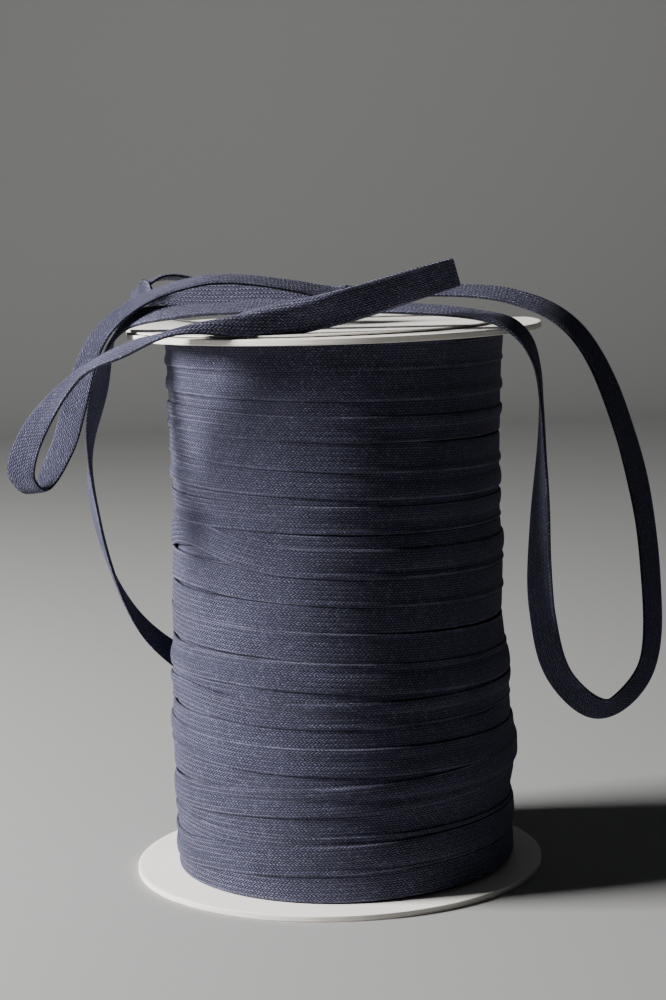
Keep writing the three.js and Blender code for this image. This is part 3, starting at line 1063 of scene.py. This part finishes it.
# %% Card material
CARD_WHITE = (0.93, 0.90, 0.84)
CARD_SHADE = (0.84, 0.80, 0.73)
WALL_LIGHT = (0.93, 0.89, 0.82)
WALL_DARK = (0.70, 0.65, 0.57)
MOTTLE_SCALE, GRAIN_SCALE = 28.0, 1400.0
# The layers' noise is drawn out along the wall: its scale across, across and upwards
LAYER_SCALE = (60, 60, 3200)
CARD_RELIEF = 0.08 * MM
CARD_SPECULAR = 0.35


def card_material():
    """Face colour mottled by two noises, mixed with layered wall colour by the wall's mask."""
    material, tree, shader = new_material("card")
    here = add_node(tree, "ShaderNodeTexCoord", None, 3)
    layers_at = here.node("ShaderNodeMapping", None, 0, Vector=here, Scale=LAYER_SCALE)
    layers = noise(layers_at, 1.0, 3.0)
    mottle = noise(here, MOTTLE_SCALE, 5.0)
    grain = noise(here, GRAIN_SCALE, 3.0)
    wall = here.node("ShaderNodeAttribute", {"attribute_name": CUT_EDGE}, 2)
    face = mixed(((mottle - 0.42) * 1.8 + (grain - 0.5) * 0.4).clamp(),
                 (*CARD_WHITE, 1), (*CARD_SHADE, 1))
    edge = mixed(((layers - 0.35) * 2.6).clamp(), (*WALL_LIGHT, 1), (*WALL_DARK, 1))
    colour = mixed(((wall - 0.3) * 2.0).clamp(), face, edge)
    height = grain * 0.5 + layers * wall
    finish_material(tree, shader, colour, 0.78 + (grain - 0.5) * 0.2, height, CARD_RELIEF)
    shader.inputs["Specular IOR Level"].default_value = CARD_SPECULAR
    return material


card = card_material()
for piece in (bottom_disc, top_disc, facing_disc):
    piece.data.materials.append(card)
print("card:", len(card.node_tree.nodes), "nodes on 3 pieces")

# %% [markdown]
# ## Floor
# The spool stands on a pale floor that bends up into a wall far behind it. Two planes would
# meet in a line, so it is one strip that runs level, round a quarter circle and up.

# %% Stage
SWEEP_BACK = 1.5
SWEEP_RADIUS = 0.6
SWEEP_HALF_WIDTH = 3.0
FLOOR_FRONT = -7.0
WALL_TOP = 3.0
BEND_POINTS = 24
FLOOR_GREY = 0.31
FLOOR_DULL = (0.96, 0.97, 0.97)
FLOOR_CLEAR = (1.0, 1.0, 0.99)
FLOOR_ROUGHNESS = 0.85
CLOUD_SCALE = 3.0

bend = np.linspace(0, math.pi / 2, BEND_POINTS)
sweep_y = np.concatenate([[FLOOR_FRONT], SWEEP_BACK + SWEEP_RADIUS * np.sin(bend),
                          [SWEEP_BACK + SWEEP_RADIUS]])
sweep_z = np.concatenate([[0], SWEEP_RADIUS * (1 - np.cos(bend)), [WALL_TOP]])
left = np.stack([np.full(len(sweep_y), -SWEEP_HALF_WIDTH), sweep_y, sweep_z], -1)
right = left * [-1, 1, 1]
count = len(sweep_y)
sweep_mesh = bpy.data.meshes.new("studio_floor")
sweep_mesh.from_pydata(np.concatenate([left, right]), [],
                       [(k, count + k, count + k + 1, k + 1) for k in range(count - 1)])
sweep_mesh.polygons.foreach_set("use_smooth", np.ones(count - 1, bool))
studio_floor = linked("studio_floor", sweep_mesh)

material, tree, shader = new_material("pale_floor")
here = add_node(tree, "ShaderNodeTexCoord", None, 3)
dull, clear = (tuple(FLOOR_GREY * part for part in tint) for tint in (FLOOR_DULL, FLOOR_CLEAR))
floor_colour = mixed(noise(here, CLOUD_SCALE, 3.0), (*dull, 1), (*clear, 1))
feed(tree, shader.inputs["Base Color"], floor_colour)
shader.inputs["Roughness"].default_value = FLOOR_ROUGHNESS
sweep_mesh.materials.append(material)
print("floor:", count - 1, "strips")

# %% [markdown]
# ## Light
# A soft lamp at the left, a little in front of the spool and above it, gives the braid its
# raking light and leaves the right side dark. A weak wide one in front only opens the shadows,
# and the world adds a faint even light. A sun lamp would rake as well, but its shadows would be hard.

# %% Lamps
AIM = np.array([0.0, 0.0, 0.11])
WORLD_COLOUR = (0.80, 0.86, 1.0)
WORLD_STRENGTH = 0.02


def lamp(name, azimuth, rise, distance, size, power, colour):
    """A square area lamp at a direction and distance from the spool, facing it."""
    away = directions(azimuth, rise)
    light = linked(name, bpy.data.lights.new(name, "AREA"))
    light.data.size = size
    light.data.energy = power
    light.data.color = colour
    side = unit(np.cross([0, 0, 1], away))
    lamp_axes = np.column_stack([side, np.cross(away, side), away])
    light.matrix_world = placed(lamp_axes, AIM + away * distance)
    return light


key = lamp("key_light", azimuth=-173, rise=25, distance=1.3, size=0.42, power=64,
           colour=(1.0, 0.985, 0.97))
fill = lamp("fill_light", azimuth=-70, rise=35, distance=2.0, size=1.4, power=0.15,
            colour=(0.92, 0.95, 1.0))
world = bpy.data.worlds.new("studio")
world.use_nodes = True
world.node_tree.nodes["Background"].inputs["Color"].default_value = (*WORLD_COLOUR, 1)
world.node_tree.nodes["Background"].inputs["Strength"].default_value = WORLD_STRENGTH
bpy.context.scene.world = world
print("lamps:", [(light.name, round(light.data.energy, 2)) for light in (key, fill)])
